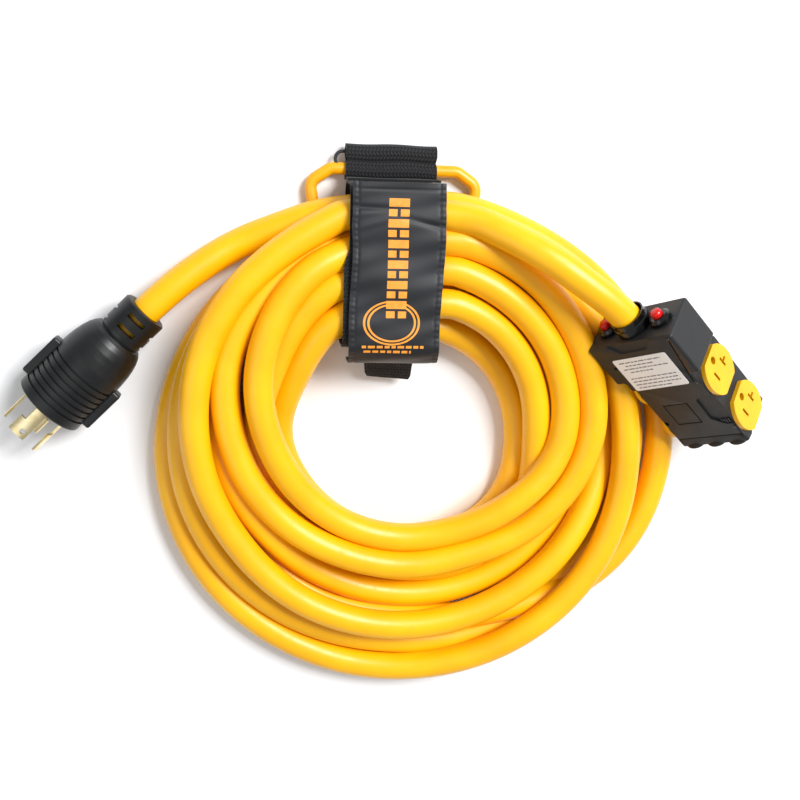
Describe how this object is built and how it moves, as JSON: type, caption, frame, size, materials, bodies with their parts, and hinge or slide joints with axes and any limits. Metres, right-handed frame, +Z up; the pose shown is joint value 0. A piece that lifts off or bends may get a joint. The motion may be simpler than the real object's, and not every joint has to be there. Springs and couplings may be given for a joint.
{
  "type": "generator power distribution cord",
  "caption": "Heavy yellow power cord wound in a coil and strapped, with a twist-locking plug at one end and an outlet box with sockets and reset buttons at the other.",
  "frame": {"origin": "centre of the bounding box's footprint, on the floor that the coil lies on", "axes": "+Z up; +X from the plug's side to the outlet box's side; +Y towards the strap's handle"},
  "size_m": [0.502, 0.3854, 0.1009],
  "materials": {
    "plug_rubber": "satin moulded rubber",
    "blade_brass": "bright, nickel-washed",
    "core_plastic": "matt",
    "contact_brass": "bright",
    "cable_jacket": "satin",
    "case_charcoal": "satin, finely textured",
    "black_gloss": "glossy",
    "black_plastic": "matt",
    "button_red": "glossy",
    "socket_yellow": "satin",
    "label_white": "satin film with grey print",
    "screw_steel": "zinc plated",
    "wire_black": "satin",
    "wire_red": "satin",
    "wire_white": "satin",
    "wire_green": "satin",
    "webbing_black": "woven, ribbed in a V pattern",
    "sleeve_slate": "woven, printed in orange",
    "patch_black": "hook and loop pile",
    "handle_yellow": "satin"
  },
  "bodies": {
    "cord": {"cord_coil": "cable_jacket", "cord_plug_tail": "cable_jacket", "cord_box_tail": "cable_jacket", "plug_body": "plug_rubber", "plug_core": "core_plastic", "plug_blade_neutral": "blade_brass", "plug_blade_hot_x": "blade_brass", "plug_blade_hot_y": "blade_brass", "plug_blade_ground": "blade_brass", "plug_crimps": "contact_brass", "plug_conductors": "wire_black", "front_shell": "case_charcoal", "rear_shell": "case_charcoal", "cable_gland": "black_gloss", "cable_clamp": "black_plastic", "breaker_bushing_left": "black_gloss", "breaker_bushing_right": "black_gloss", "breaker_left": "black_plastic", "breaker_right": "black_plastic", "rating_label": "label_white", "box_screws": "screw_steel", "socket_1": "socket_yellow", "socket_2": "socket_yellow", "socket_3": "socket_yellow", "socket_4": "socket_yellow", "socket_contacts_hot": "contact_brass", "socket_contacts_neutral": "contact_brass", "socket_contacts_ground": "contact_brass", "bus_bar_hot_x": "contact_brass", "bus_bar_hot_y": "contact_brass", "bus_bars_neutral": "contact_brass", "bus_bars_ground": "contact_brass", "wire_hot_x": "wire_black", "wire_hot_y": "wire_red", "wire_neutral": "wire_white", "wire_ground": "wire_green", "breaker_lead_x": "wire_black", "breaker_lead_y": "wire_red", "neutral_jumper": "wire_white", "ground_jumper": "wire_green", "strap_band": "webbing_black", "strap_handle_loop": "webbing_black", "strap_sleeve": "sleeve_slate", "strap_tab": "webbing_black", "strap_loop_patch": "patch_black", "strap_hook_patch": "patch_black"},
    "handle": {"carry_handle": "handle_yellow"},
    "reset_left": {"reset_button_left": "button_red"},
    "reset_right": {"reset_button_right": "button_red"}
  },
  "joints": [
    {"name": "handle_swing", "type": "hinge", "parent": "cord", "child": "handle", "pos_m": [-0.00286, 0.1763, 0.0062], "axis": [1, 0, 0], "range_deg": [0, 180]},
    {"name": "reset_left_pop", "type": "slide", "parent": "cord", "child": "reset_left", "axis": [-0.6997, 0.6849, 0.2033], "range_m": [0, 0.004]},
    {"name": "reset_right_pop", "type": "slide", "parent": "cord", "child": "reset_right", "axis": [-0.6997, 0.6849, 0.2033], "range_m": [0, 0.004]}
  ]
}
